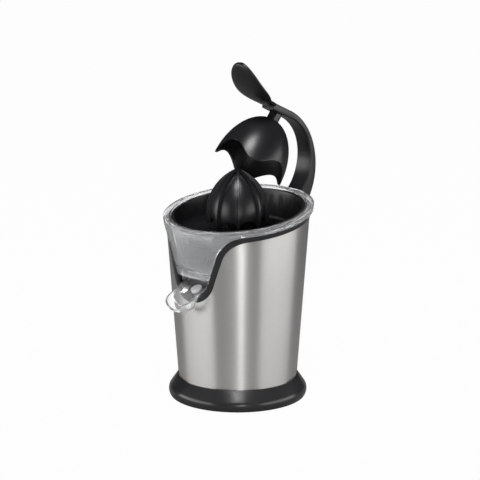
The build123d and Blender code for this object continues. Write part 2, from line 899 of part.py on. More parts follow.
def cone_plate(radius, top):
    """Upright plate across the cone's axis with the cone's outline."""
    mid_x, mid_z = cone_flank(radius, top)
    with BuildPart() as plate:
        with BuildSketch(Plane.XZ):
            with BuildLine():
                Polyline((-radius, cone_brim), (-radius, cone_base), (radius, cone_base), (radius, cone_brim))
                ThreePointArc((radius, cone_brim), (mid_x, mid_z), (cone_tip, top))
                Line((cone_tip, top), (-cone_tip, top))
                ThreePointArc((-cone_tip, top), (-mid_x, mid_z), (-radius, cone_brim))
            make_face()
        extrude(amount=rib_width / 2, both=True)
    return plate.part


def cone_solid(radius, top):
    """Round solid with the cone's outline."""
    with BuildPart() as solid:
        with BuildSketch(Plane.XZ):
            with BuildLine():
                Polyline((cone_tip, top), (0, top), (0, cone_base), (radius, cone_base), (radius, cone_brim))
                ThreePointArc((radius, cone_brim), cone_flank(radius, top), (cone_tip, top))
            make_face()
        revolve(axis=Axis.Z)
    return solid.part


cone_core_radius = cone_radius - rib_height
cone_core_top = cone_apex - rib_height
cone_blade = cone_plate(cone_radius, cone_apex)
scallop_start = (socket_radius + cone_core_radius) / 2
with BuildPart() as juicing_cone:
    add(cone_solid(cone_core_radius, cone_core_top))
    for blade in range(rib_count // 2):
        add(cone_blade.rotate(Axis.Z, blade * 360 / rib_count))
    add(cone_solid(cone_core_radius - cone_wall, cone_core_top - cone_wall), mode=Mode.SUBTRACT)
    add(rods(socket_radius, socket_low, cone_core_top - cone_wall / 2))
    with BuildSketch(Plane.XY.offset(socket_low)):
        RegularPolygon(hex_corner + seat_gap, 6)
    extrude(amount=shaft_top + loose_gap - socket_low, mode=Mode.SUBTRACT)
    for panel in range(rib_count):
        panel_angle = (2 * panel + 1) * pi / rib_count
        panel_out = (cos(panel_angle), sin(panel_angle), 0)
        panel_along = (-sin(panel_angle), cos(panel_angle), 0)
        panel_start = (scallop_start * panel_out[0], scallop_start * panel_out[1], cone_base)
        with BuildSketch(Plane(origin=panel_start, x_dir=panel_along, z_dir=panel_out)):
            with Locations((0, scallop_height - scallop_radius)):
                Circle(scallop_radius)
        extrude(amount=cone_radius - scallop_start, mode=Mode.SUBTRACT)
juicing_cone.part.label = "juicing_cone"

# Spindle: six-sided where it drives, round where it runs in its bushes
hex_end = spring_low + press_travel + loose_gap
with BuildPart() as drive_shaft:
    with BuildSketch(Plane.XY.offset(shaft_low)):
        RegularPolygon(hex_corner, 6)
    extrude(amount=hex_end - shaft_low)
    add(rods(shaft_radius, hex_end, socket_low))
    add(rods(collar_flange, flange_low, flange_top))
    with BuildSketch(Plane.XY.offset(socket_low)):
        RegularPolygon(hex_corner, 6)
    extrude(amount=shaft_top - socket_low)
drive_shaft.part.label = "drive_shaft"

with BuildPart() as spindle_bushes:
    add(rods(bush_radius, boss_low, boss_low + bush_length, bore=shaft_radius + running_gap))
    add(rods(bush_radius, collar_top - bush_length, collar_top, bore=shaft_radius + running_gap))
spindle_bushes.part.label = "spindle_bushes"

with BuildPart() as return_spring:
    add(coil(spring_radius, spring_wire, spring_turns, (0, 0, spring_low + spring_wire / 2), (0, 0, 1),
             spring_room - spring_wire))
return_spring.part.label = "return_spring"

# Gear train: output wheel, idler and motor pinion in one plane layout
output_outline = gear_face(wheel_teeth, slow_module, idler_angle, False)
slow_pinion_outline = gear_face(pinion_teeth, slow_module, idler_angle + 180, True)
fast_wheel_outline = gear_face(wheel_teeth, fast_module, 180, False)
motor_pinion_outline = gear_face(pinion_teeth, fast_module, 0, True)
journal_low = output_top + shoulder_rise
with BuildPart() as output_gear:
    add(toothed(output_outline, output_low, output_top, 0, 0))
    add(rods(hub_radius + shoulder_width, output_top, journal_low))
    add(rods(hub_radius, journal_low, hub_top))
    add(rods(hub_radius, clip_low, clip_low + clip_wall, bore=hub_radius - clip_depth), mode=Mode.SUBTRACT)
    add(rods(spring_radius + spring_wire / 2 + loose_gap, spring_low, hub_top), mode=Mode.SUBTRACT)
    with BuildSketch(Plane.XY.offset(output_low)):
        RegularPolygon(hex_corner + running_gap / cos(pi / 6), 6)
    extrude(amount=spring_low - output_low, mode=Mode.SUBTRACT)
output_gear.part.label = "output_gear"

with BuildPart() as gear_clip:
    add(rods(clip_radius, clip_low, clip_low + clip_wall, bore=hub_radius - clip_depth))
gear_clip.part.label = "gear_clip"

idler_top = output_top + pinion_over
with BuildPart() as idler_gear:
    add(toothed(fast_wheel_outline, fast_low, fast_top, idler_x, idler_y))
    add(toothed(slow_pinion_outline, fast_top, idler_top, idler_x, idler_y))
    add(rods(axle_radius + running_gap, fast_low, idler_top, idler_place), mode=Mode.SUBTRACT)
idler_gear.part.label = "idler_gear"

with BuildPart() as idler_axle:
    add(rods(axle_radius, case_base, cover_top, idler_place))
idler_axle.part.label = "idler_axle"

pinion_low = fast_low - pinion_over
pinion_high = fast_top + pinion_over
with BuildPart() as motor_pinion:
    add(toothed(motor_pinion_outline, pinion_low, pinion_high, motor_x, motor_y))
    add(rods(motor_shaft_radius, pinion_low, pinion_high, motor_place), mode=Mode.SUBTRACT)
motor_pinion.part.label = "motor_pinion"

# Gearbox case and cover
motor_hole = motor_shaft_radius + motor_bush_wall
with BuildPart() as gearbox_case:
    with BuildSketch(Plane.XY.offset(case_base)):
        Circle(case_radius)
        with Locations(*idler_place):
            Circle(idler_case_radius)
        with Locations(*ear_places):
            Circle(ear_radius)
    extrude(amount=cover_base - case_base)
    with BuildSketch(Plane.XY.offset(case_base)):
        with Locations(*motor_place):
            RectangleRounded(core_width, core_width, case_floor)
    extrude(amount=case_floor)
    with BuildSketch(Plane.XY.offset(floor_top)):
        Circle(case_radius - case_wall)
        with Locations(*idler_place):
            Circle(idler_case_radius - case_wall)
    extrude(amount=case_room, mode=Mode.SUBTRACT)
    add(rods(2 * axle_radius, case_base, fast_low - loose_gap, idler_place))
    add(rods(axle_radius + seat_gap, case_base, fast_low, idler_place), mode=Mode.SUBTRACT)
    add(rods(motor_hole, case_base, floor_top, motor_place), mode=Mode.SUBTRACT)
    add(rods(bolt_radius + seat_gap, case_base, floor_top, bolt_places), mode=Mode.SUBTRACT)
    add(rods(screw_hole, case_base, cover_base, ear_places), mode=Mode.SUBTRACT)
gearbox_case.part.label = "gearbox_case"

with BuildPart() as gearbox_cover:
    with BuildSketch(Plane.XY.offset(cover_base)):
        Circle(case_radius)
        with Locations(*idler_place):
            Circle(idler_case_radius)
        with Locations(*ear_places):
            Circle(ear_radius)
    extrude(amount=cover_wall)
    add(rods(clip_radius, cover_top, cover_top + cover_boss))
    add(rods(hub_radius + running_gap, cover_base, cover_top + cover_boss), mode=Mode.SUBTRACT)
    add(rods(axle_radius + seat_gap, cover_base, cover_top, idler_place), mode=Mode.SUBTRACT)
    add(rods(screw_hole, cover_base, cover_top, ear_places), mode=Mode.SUBTRACT)
gearbox_cover.part.label = "gearbox_cover"

with BuildPart() as gearbox_screws:
    add(screws([Plane(origin=(x, y, case_base)) for x, y in ear_places], cover_top - case_base + screw_bite))
gearbox_screws.part.label = "gearbox_screws"

# Motor under the gearbox
bearing_out = motor_shaft_radius + running_gap + motor_bush_wall
top_bracket_low = case_base - bracket_plate
boss_top_low = top_bracket_low - bearing_drop
bottom_boss_top = motor_low + bracket_plate + bearing_drop
with BuildPart() as motor_top_bracket:
    with BuildSketch(Plane.XY.offset(top_bracket_low)):
        with Locations(*motor_place):
            RectangleRounded(core_width, core_width, case_floor)
    extrude(amount=bracket_plate)
    add(rods(bearing_radius, boss_top_low, top_bracket_low, motor_place))
    add(rods(2 * bolt_radius, core_top, top_bracket_low, bolt_places))
    add(rods(bearing_out + seat_gap, boss_top_low, case_base, motor_place), mode=Mode.SUBTRACT)
    add(rods(bolt_radius + seat_gap, core_top, case_base, bolt_places), mode=Mode.SUBTRACT)
motor_top_bracket.part.label = "motor_top_bracket"

with BuildPart() as motor_bottom_bracket:
    with BuildSketch(Plane.XY.offset(motor_low)):
        with Locations(*motor_place):
            RectangleRounded(core_width, core_width, case_floor)
    extrude(amount=bracket_plate)
    add(rods(bearing_radius, motor_low + bracket_plate, bottom_boss_top, motor_place))
    add(rods(2 * bolt_radius, motor_low + bracket_plate, core_low, bolt_places))
    add(rods(bearing_out + seat_gap, motor_low, bottom_boss_top, motor_place), mode=Mode.SUBTRACT)
    add(rods(bolt_radius + seat_gap, motor_low, core_low, bolt_places), mode=Mode.SUBTRACT)
motor_bottom_bracket.part.label = "motor_bottom_bracket"

with BuildPart() as motor_bushes:
    add(rods(bearing_out, boss_top_low, case_base, motor_place, bore=motor_shaft_radius + running_gap))
    add(rods(bearing_out, motor_low, bottom_boss_top, motor_place, bore=motor_shaft_radius + running_gap))
motor_bushes.part.label = "motor_bushes"

with BuildPart() as motor_bolts:
    add(rods(bolt_radius, motor_low, floor_top, bolt_places))
    add(rods(screw_head, motor_low - screw_head_height, motor_low, bolt_places))
motor_bolts.part.label = "motor_bolts"

with BuildPart() as stator_core:
    with BuildSketch(Plane.XY.offset(core_low)):
        with Locations(*motor_place):
            RectangleRounded(core_width, core_width, case_floor)
            Circle(core_bore, mode=Mode.SUBTRACT)
        with Locations(*bolt_places):
            Circle(bolt_radius + seat_gap, mode=Mode.SUBTRACT)
    extrude(amount=core_height)
stator_core.part.label = "stator_core"

with BuildPart() as field_coils:
    add(rods(coil_radius, core_top, core_top + coil_height, motor_place, bore=core_bore + coil_gap))
    add(rods(coil_radius, core_low - coil_height, core_low, motor_place, bore=core_bore + coil_gap))
field_coils.part.label = "field_coils"

rotor_radius = core_bore - air_gap
with BuildPart() as rotor_core:
    add(rods(rotor_radius, core_low, core_top, motor_place))
    add(rods(rotor_radius - end_ring, core_low - end_ring, core_top + end_ring, motor_place))
    add(rods(motor_shaft_radius, core_low - end_ring, core_top + end_ring, motor_place), mode=Mode.SUBTRACT)
rotor_core.part.label = "rotor_core"

fan_top = motor_low - screw_head_height - end_ring
fan_low = fan_top - fan_height
with BuildPart() as motor_shaft:
    add(rods(motor_shaft_radius, fan_low - end_ring, pinion_high, motor_place))
motor_shaft.part.label = "motor_shaft"

with BuildPart() as cooling_fan:
    add(rods(fan_hub, fan_low, fan_top, motor_place))
    add(rods(fan_radius, fan_top - fan_disc, fan_top, motor_place))
    with BuildSketch(Plane(origin=(motor_x, motor_y, fan_low + blade_wall))):
        with PolarLocations((fan_hub + fan_radius) / 2 - blade_wall, fan_blades):
            Rectangle(fan_radius - fan_hub, blade_wall)
    extrude(amount=fan_height - fan_disc / 2 - blade_wall)
    add(rods(motor_shaft_radius, fan_low, fan_top, motor_place), mode=Mode.SUBTRACT)
cooling_fan.part.label = "cooling_fan"

# Switch under the spindle
button_low = floor_top + switch_height - button_sink
with BuildPart() as micro_switch:
    with BuildSketch(Plane.XY.offset(floor_top)):
        Rectangle(switch_length, switch_width)
    extrude(amount=switch_height)
    add(rods(button_radius + running_gap, button_low - press_travel - loose_gap, floor_top + switch_height),
        mode=Mode.SUBTRACT)
micro_switch.part.label = "micro_switch"

with BuildPart() as switch_button:
    add(rods(button_radius, button_low, button_top))
switch_button.part.label = "switch_button"


# Lever: a C-shaped arm from the rear hinge over to the handle
rise = radians(arm_rise)
arm_up = (sin(rise), cos(rise))
arm_ahead = (-cos(rise), sin(rise))
bar_low = (bow_inner_y + bow_inner * arm_up[0], bow_inner_z + bow_inner * arm_up[1])
bar_high = (bow_outer_y + bow_outer * arm_up[0], bow_outer_z + bow_outer * arm_up[1])
bar_thick = (bar_high[0] - bar_low[0]) * arm_up[0] + (bar_high[1] - bar_low[1]) * arm_up[1]
bar_length = (bar_low[0] - arm_end_y) / cos(rise)


def bar_point(ahead, up):
    """Point in the middle plane, measured along the lever's straight bar and up from its underside."""
    y = bar_low[0] + ahead * arm_ahead[0] + up * arm_up[0]
    z = bar_low[1] + ahead * arm_ahead[1] + up * arm_up[1]
    return (y, z)


def bar_plane(ahead, up):
    """Plane square to the bar's top face, its direction pointing down into the bar."""
    y, z = bar_point(ahead, up)
    return Plane(origin=(0, y, z), x_dir=(1, 0, 0), z_dir=(0, -arm_up[0], -arm_up[1]))


# Press dome under the bar
tilt = radians(dome_tilt)
dome_axis = Vector(0, sin(tilt), cos(tilt))
dome_front = Vector(0, -cos(tilt), sin(tilt))
dome_center = Vector(0, dome_y, dome_z)
dome_section = Plane(origin=dome_center, x_dir=(1, 0, 0), z_dir=dome_front)
dome_inner = dome_radius - dome_wall
dome_inner_height = dome_height - dome_wall
bar_underside = Plane(origin=(0, bar_low[0], bar_low[1]), z_dir=(0, arm_up[0], arm_up[1]))
stem_root = Plane(origin=dome_center + dome_axis * dome_inner_height, x_dir=(1, 0, 0), z_dir=dome_axis)
stem_reach = (
    (bar_low[0] - dome_y) * arm_up[0] + (bar_low[1] - dome_z) * arm_up[1]
) / (dome_axis.Y * arm_up[0] + dome_axis.Z * arm_up[1])
stem_end = dome_center + dome_axis * stem_reach
stem_ahead = (stem_end.Y - bar_low[0]) * arm_ahead[0] + (stem_end.Z - bar_low[1]) * arm_ahead[1]
half_lobe = dome_radius * sin(pi / 4)
side_lobe = dome_radius * sin(pi / 8)
dome_screw_seat = bar_plane(stem_ahead, bar_thick - screw_head_height - screw_sink)
with BuildPart() as press_dome:
    with BuildSketch(dome_section):
        with BuildLine():
            EllipticalCenterArc((0, 0), dome_radius, dome_height, start_angle=0, arc_size=90)
            Line((0, dome_height), (0, dome_inner_height))
            EllipticalCenterArc((0, 0), dome_inner, dome_inner_height, start_angle=0, arc_size=90)
            Line((dome_inner, 0), (dome_radius, 0))
        make_face()
    revolve(axis=Axis(dome_center, dome_axis))
    with BuildSketch(stem_root):
        RectangleRounded(stem_width, stem_depth, stem_fillet)
    extrude(amount=stem_reach)
    split(bisect_by=bar_underside, keep=Keep.BOTTOM)
    for lobe in range(4):
        turn = lobe * pi / 2
        outward = dome_front * cos(turn) + Vector(1, 0, 0) * sin(turn)
        with BuildSketch(Plane(origin=dome_center, x_dir=dome_axis.cross(outward), z_dir=outward)):
            with BuildLine():
                Spline(
                    (-half_lobe, 0),
                    (-side_lobe, dome_arch / 2),
                    (0, dome_arch),
                    (side_lobe, dome_arch / 2),
                    (half_lobe, 0),
                    tangents=((1, 0), (1, 0)),
                )
                Polyline((half_lobe, 0), (half_lobe, -dome_arch), (-half_lobe, -dome_arch), (-half_lobe, 0))
            make_face()
        extrude(amount=2 * dome_radius, mode=Mode.SUBTRACT)
    with BuildSketch(dome_screw_seat):
        Circle(screw_hole)
    extrude(amount=bar_thick + stem_reach - dome_inner_height + dome_wall, mode=Mode.SUBTRACT)
press_dome.part.label = "press_dome"

# Arm of the lever
lean_run = arm_top_half - hinge_half
lean_rise = arm_top_height - hinge_z
bar_ahead = (0, arm_ahead[0], arm_ahead[1])
arm_end = Plane(origin=(0, *bar_point(bar_length, 0)), z_dir=bar_ahead)
tongue_point = bar_point(bar_length - tongue_wall, bar_thick / 2 + pad_lift)
tongue_root = Plane(origin=(0, *tongue_point), x_dir=(1, 0, 0), z_dir=bar_ahead)
with BuildPart() as lever_arm:
    with BuildSketch(Plane.YZ):
        with Locations((bow_outer_y, bow_outer_z)):
            Circle(bow_outer)
        with Locations((bow_inner_y, bow_inner_z)):
            Circle(bow_inner, mode=Mode.SUBTRACT)
        with BuildLine():
            Polyline(
                (bow_inner_y, bow_inner_z),
                bar_low,
                bar_high,
                (bar_high[0] + bow_outer * arm_up[0], bar_high[1] + bow_outer * arm_up[1]),
                (hinge_y + bow_outer, arm_top_height),
                (hinge_y + bow_outer, hinge_z),
                (hinge_y - hinge_hub, hinge_z),
                close=True,
            )
        make_face(mode=Mode.INTERSECT)
        with BuildLine():
            Polyline(
                bar_low,
                bar_point(bar_length, 0),
                bar_point(bar_length, bar_thick),
                bar_high,
                close=True,
            )
        make_face()
        with Locations((hinge_y, hinge_z)):
            Circle(hinge_hub)
    extrude(amount=hinge_half, both=True)
    for side in (1, -1):
        split(
            bisect_by=Plane(origin=(side * hinge_half, 0, hinge_z), z_dir=(side * lean_rise, 0, -lean_run)),
            keep=Keep.BOTTOM,
        )
    arm_edges = lever_arm.faces().filter_by(GeomType.PLANE).sort_by(SortBy.AREA)[-2:].edges()
    arm_edges = arm_edges.filter_by(lambda edge: edge.center().Z > hinge_z + 2 * hinge_hub)
    chamfer(arm_edges.filter_by(lambda edge: edge.length > 2 * hinge_hub), length=arm_bevel)
    with BuildSketch(tongue_root):
        Rectangle(tongue_width, tongue_wall)
    extrude(amount=tongue_wall + tongue_length)
    add(cross_rods(hinge_pin_radius + running_gap, 0, hinge_half, hinge_y, hinge_z), mode=Mode.SUBTRACT)
    add(cross_rods(spring_pocket, 0, spring_pocket_half, hinge_y, hinge_z), mode=Mode.SUBTRACT)
    with BuildSketch(Plane.YZ):
        with Locations((hinge_y - hinge_hub, hinge_z - hinge_hub)):
            Rectangle(2 * hinge_hub, 2 * hinge_hub)
    extrude(amount=spring_pocket_half, both=True, mode=Mode.SUBTRACT)
    with BuildSketch(dome_screw_seat):
        Circle(screw_hole)
    extrude(amount=bar_thick, mode=Mode.SUBTRACT)
    with BuildSketch(dome_screw_seat):
        Circle(screw_head + seat_gap)
    extrude(amount=-bar_thick, mode=Mode.SUBTRACT)
lever_arm.part.label = "lever_arm"

with BuildPart() as dome_screw:
    add(screws([dome_screw_seat], bar_thick - screw_head_height - screw_sink + screw_bite))
dome_screw.part.label = "dome_screw"

# Handle pad: a leaf-shaped grip that curls up from the end of the bar
pad_root_y, pad_root_z = bar_point(bar_length, bar_thick / 2 + pad_lift)
pad_bend = pad_length / radians(pad_curl)
pad_half = pad_width / 2


def pad_heading(run):
    """Slope of the pad's middle line at a part of its length."""
    return radians(pad_rise + pad_curl * run)


def pad_spot(run):
    """Point on the pad's middle line at a part of its length."""
    start = radians(pad_rise)
    heading = pad_heading(run)
    y = pad_root_y - pad_bend * (sin(heading) - sin(start))
    z = pad_root_z + pad_bend * (cos(start) - cos(heading))
    return (0, y, z)


def pad_half_width(run):
    """Half width of the pad: it swells from the bar and ends in a round tip."""
    if run < pad_widest:
        swell = sin(pi / 2 * run / pad_widest)
        return pad_root_half + (pad_half - pad_root_half) * swell ** 2
    fall = (run - pad_widest) / (1 - pad_widest)
    return pad_half * sqrt(1 - fall ** 2)


with BuildPart() as handle_pad:
    for run in pad_stations:
        half_wall = pad_wall / 2 * (pad_half_width(run) / pad_half) ** pad_thinning
        heading = pad_heading(run)
        onward = (0, -cos(heading), sin(heading))
        with BuildSketch(Plane(origin=pad_spot(run), x_dir=(1, 0, 0), z_dir=onward)):
            Ellipse(pad_half_width(run), half_wall)
    loft()
    with BuildSketch(tongue_root):
        Rectangle(tongue_width + 2 * seat_gap, tongue_wall + 2 * seat_gap)
    extrude(amount=tongue_wall + tongue_length + seat_gap, mode=Mode.SUBTRACT)
    split(bisect_by=arm_end.offset(seat_gap), keep=Keep.TOP)
handle_pad.part.label = "handle_pad"

# Rear hinge: bracket on the steel, pin and closing spring
ear_near = hinge_half + ear_gap
ear_far = ear_near + ear_wall
bracket_skin = wall_band(seat_gap, bracket_wall, bracket_low, bracket_high)
with BuildPart() as hinge_ear:
    with BuildSketch(Plane.YZ.offset(ear_near)):
        with BuildLine():
            ear_arc = CenterArc((hinge_y, hinge_z), ear_round, ear_start, ear_sweep)
            Polyline(
                ear_arc @ 1,
                (wall_radius(bracket_high) - liner_wall, bracket_high),
                (wall_radius(bracket_screw_high) - liner_wall, bracket_screw_high),
                ear_arc @ 0,
            )
        make_face()
    extrude(amount=ear_wall)
    mirror(about=Plane.YZ)
    add(
        wall_band(seat_gap, 2 * rim_radius, bracket_low - ear_round, bracket_high + ear_round),
        mode=Mode.INTERSECT,
    )
with BuildPart() as bracket_window:
    with BuildSketch(Plane.XZ):
        with Locations((0, (bracket_low + bracket_high) / 2)):
            RectangleRounded(2 * ear_far, bracket_high - bracket_low, ear_wall)
    extrude(amount=-2 * rim_radius)


def bracket_seat_y(height):
    """Depth of a flat seat cut into the curved bracket for a screw's head."""
    outside = wall_radius(height - screw_head) + bracket_wall
    return sqrt(outside ** 2 - (bracket_screw_x + screw_head) ** 2)


bracket_seats = [
    Plane(
        origin=(side * bracket_screw_x, bracket_seat_y(height), height),
        x_dir=(1, 0, 0),
        z_dir=(0, -1, 0),
    )
    for side in (-1, 1)
    for height in (bracket_screw_low, bracket_screw_high)
]
with BuildPart() as hinge_bracket:
    add(bracket_skin)
    add(bracket_window.part, mode=Mode.INTERSECT)
    with BuildSketch(Plane.XY.offset(hinge_z - ear_round)):
        with Locations((0, hinge_y)):
            Rectangle(2 * ear_near, 2 * rim_radius)
    extrude(amount=2 * ear_round, mode=Mode.SUBTRACT)
    add(hinge_ear.part)
    add(cross_rods(hinge_pin_radius + seat_gap, ear_near, ear_far, hinge_y, hinge_z), mode=Mode.SUBTRACT)
    add(rear_holes(screw_hole, bracket_screw_places), mode=Mode.SUBTRACT)
    for seat in bracket_seats:
        with BuildSketch(seat):
            Circle(screw_head + seat_gap)
        extrude(amount=-screw_head - bracket_wall, mode=Mode.SUBTRACT)
hinge_bracket.part.label = "hinge_bracket"

with BuildPart() as hinge_pin:
    add(cross_rods(hinge_pin_radius, 0, ear_far + seat_gap, hinge_y, hinge_z))
    add(cross_rods(hinge_pin_radius + pin_head, ear_far + seat_gap, ear_far + pin_head, hinge_y, hinge_z))
hinge_pin.part.label = "hinge_pin"

coil_half = torsion_turns * (torsion_wire + seat_gap) / 2
with BuildPart() as hinge_spring:
    coil_start = (-coil_half, hinge_y, hinge_z)
    add(coil(torsion_radius, torsion_wire, torsion_turns, coil_start, (1, 0, 0), 2 * coil_half))
hinge_spring.part.label = "hinge_spring"

with BuildPart() as bracket_screws:
    add(screws(bracket_seats, bracket_wall + liner_out))
bracket_screws.part.label = "bracket_screws"

os.makedirs("parts", exist_ok=True)
export_step(base_ring.part, "parts/base_ring.step")
export_step(base_plate.part, "parts/base_plate.step")
export_step(rubber_feet.part, "parts/rubber_feet.step")
export_step(base_screws.part, "parts/base_screws.step")
export_step(cord_gland.part, "parts/cord_gland.step")
export_step(steel_shell.part, "parts/steel_shell.step")
export_step(shell_trim.part, "parts/shell_trim.step")
export_step(inner_housing.part, "parts/inner_housing.step")
export_step(juice_collector.part, "parts/juice_collector.step")
export_step(strainer.part, "parts/strainer.step")
export_step(pour_spout.part, "parts/pour_spout.step")
export_step(spout_seal.part, "parts/spout_seal.step")
export_step(juicing_cone.part, "parts/juicing_cone.step")
export_step(drive_shaft.part, "parts/drive_shaft.step")
export_step(spindle_bushes.part, "parts/spindle_bushes.step")
export_step(return_spring.part, "parts/return_spring.step")
export_step(output_gear.part, "parts/output_gear.step")
export_step(gear_clip.part, "parts/gear_clip.step")
export_step(idler_gear.part, "parts/idler_gear.step")
export_step(idler_axle.part, "parts/idler_axle.step")
export_step(motor_pinion.part, "parts/motor_pinion.step")
export_step(gearbox_case.part, "parts/gearbox_case.step")
export_step(gearbox_cover.part, "parts/gearbox_cover.step")
export_step(gearbox_screws.part, "parts/gearbox_screws.step")
export_step(motor_top_bracket.part, "parts/motor_top_bracket.step")
export_step(motor_bottom_bracket.part, "parts/motor_bottom_bracket.step")
export_step(motor_bushes.part, "parts/motor_bushes.step")
export_step(motor_bolts.part, "parts/motor_bolts.step")
export_step(stator_core.part, "parts/stator_core.step")
export_step(field_coils.part, "parts/field_coils.step")
export_step(rotor_core.part, "parts/rotor_core.step")
export_step(motor_shaft.part, "parts/motor_shaft.step")
export_step(cooling_fan.part, "parts/cooling_fan.step")
export_step(micro_switch.part, "parts/micro_switch.step")
export_step(switch_button.part, "parts/switch_button.step")
export_step(press_dome.part, "parts/press_dome.step")
export_step(lever_arm.part, "parts/lever_arm.step")
export_step(dome_screw.part, "parts/dome_screw.step")
export_step(handle_pad.part, "parts/handle_pad.step")
export_step(hinge_bracket.part, "parts/hinge_bracket.step")
export_step(hinge_pin.part, "parts/hinge_pin.step")
export_step(hinge_spring.part, "parts/hinge_spring.step")
export_step(bracket_screws.part, "parts/bracket_screws.step")
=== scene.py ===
import bmesh
import bpy
import json
import math
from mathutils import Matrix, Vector


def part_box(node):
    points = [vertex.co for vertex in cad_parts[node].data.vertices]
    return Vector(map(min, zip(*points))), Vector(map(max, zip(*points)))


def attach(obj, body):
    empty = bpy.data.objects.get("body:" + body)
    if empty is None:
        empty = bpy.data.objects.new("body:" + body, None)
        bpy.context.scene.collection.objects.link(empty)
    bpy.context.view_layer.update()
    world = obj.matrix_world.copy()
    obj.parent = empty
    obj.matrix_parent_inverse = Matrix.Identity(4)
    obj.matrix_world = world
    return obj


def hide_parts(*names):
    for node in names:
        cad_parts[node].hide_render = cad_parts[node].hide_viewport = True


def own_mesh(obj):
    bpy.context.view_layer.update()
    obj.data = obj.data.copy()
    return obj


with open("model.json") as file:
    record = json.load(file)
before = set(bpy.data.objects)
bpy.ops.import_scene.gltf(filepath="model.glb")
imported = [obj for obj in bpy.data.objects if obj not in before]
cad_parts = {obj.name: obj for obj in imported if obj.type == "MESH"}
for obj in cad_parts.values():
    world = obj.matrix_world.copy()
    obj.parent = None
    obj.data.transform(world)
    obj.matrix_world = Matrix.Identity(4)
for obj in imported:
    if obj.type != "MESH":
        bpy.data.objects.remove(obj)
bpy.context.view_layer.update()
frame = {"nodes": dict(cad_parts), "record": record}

# Where the camera stands, in degrees and metres, and its lens
view_azimuth = 43.0
view_elevation = 14.31
view_distance = 3.0
aim_height = 0.18384
aim_right = 0.00265
frame_width = 480
focal_pixels = 2615.4
sensor_width = 36.0
sight_limit = 50

# Depth of the finishes' fine relief, in metres
grain_depth = 0.0002
brush_depth = 0.0001
flow_depth = 0.0003
flow_relief = 0.05

# Sockets of a colour mix, which share their names with those for plain values
mix_share = 0
mix_first = 6
mix_second = 7
mix_colour = 2

# How edges are rounded: lengths in metres, angles in degrees
weld_distance = 2e-6
flat_angle = 0.6
crease_angle = 32
bevel_steps = 3
loader_marks = ("custom_normal", "sharp_edge", "sharp_face")
edge_rounds = {
    "base_ring": 0.0008,
    "shell_trim": 0.0004,
    "juice_collector": 0.0007,
    "strainer": 0.0006,
    "pour_spout": 0.0006,
    "juicing_cone": 0.0009,
    "lever_arm": 0.0016,
    "press_dome": 0.0009,
    "handle_pad": 0.0005,
    "hinge_bracket": 0.0008,
}
spring_round = 0.0001

# Copper turns of the motor's coils, in metres
wire_radius = 0.0007
wire_layers = 5
turn_points = 56
wire_points = 8

# Floor and backdrop, in metres, with the share of plain white that the camera sees there
floor_reach = 6.0
wall_height = 5.0
corner_radius = 1.5
corner_steps = 16
floor_grey = 0.26
floor_roughness = 0.9
white_share = 0.98
white = (1, 1, 1, 1)

# Strength of the surroundings as light, and as seen through clear pieces
world_light = 0.04
world_seen = 1.0


# Directions and places
def outward(azimuth, elevation):
    """Direction from the object to where somebody stands, by angles in degrees."""
    az = math.radians(azimuth)
    el = math.radians(elevation)
    return Vector((math.sin(az) * math.cos(el), -math.cos(az) * math.cos(el), math.sin(el)))


def rightward(azimuth):
    """Direction to the right, for somebody who looks at the object from an azimuth."""
    az = math.radians(azimuth)
    return Vector((math.cos(az), math.sin(az), 0))


def placed(name, data):
    """New object in the scene."""
    thing = bpy.data.objects.new(name, data)
    bpy.context.collection.objects.link(thing)
    return thing


def aimed(thing, target, back, distance):
    """Stand a camera or lamp back from a target and turn it to look there."""
    thing.location = target + back * distance
    thing.rotation_euler = back.to_track_quat("Z", "Y").to_euler()


# Shader groups that more than one finish uses
def new_group(name, inputs, outputs):
    """Empty shader group with named values going in and coming out."""
    group = bpy.data.node_groups.new(name, "ShaderNodeTree")
    for label, value in inputs.items():
        socket = group.interface.new_socket(label, in_out="INPUT", socket_type="NodeSocketFloat")
        socket.default_value = value
    for label in outputs:
        group.interface.new_socket(label, in_out="OUTPUT", socket_type="NodeSocketFloat")
    return group


def reckoned(tree, operation, sources):
    """Math node that takes its values from other nodes."""
    node = tree.nodes.new("ShaderNodeMath")
    node.operation = operation
    for socket, source in zip(node.inputs, sources):
        tree.links.new(source, socket)
    return node


def grain_group():
    """Fine moulded grain: a height and a patchy mask."""
    group = new_group("moulded grain", {"Scale": 900.0, "Patch Scale": 30.0}, ["Height", "Patch"])
    nodes, links = group.nodes, group.links
    inside = nodes.new("NodeGroupInput")
    outside = nodes.new("NodeGroupOutput")
    place = nodes.new("ShaderNodeTexCoord")
    fine = nodes.new("ShaderNodeTexNoise")
    fine.inputs["Detail"].default_value = 3.0
    patch = nodes.new("ShaderNodeTexNoise")
    patch.inputs["Detail"].default_value = 2.0
    links.new(place.outputs["Object"], fine.inputs["Vector"])
    links.new(place.outputs["Object"], patch.inputs["Vector"])
    links.new(inside.outputs["Scale"], fine.inputs["Scale"])
    links.new(inside.outputs["Patch Scale"], patch.inputs["Scale"])
    links.new(fine.outputs["Fac"], outside.inputs["Height"])
    links.new(patch.outputs["Fac"], outside.inputs["Patch"])
    return group


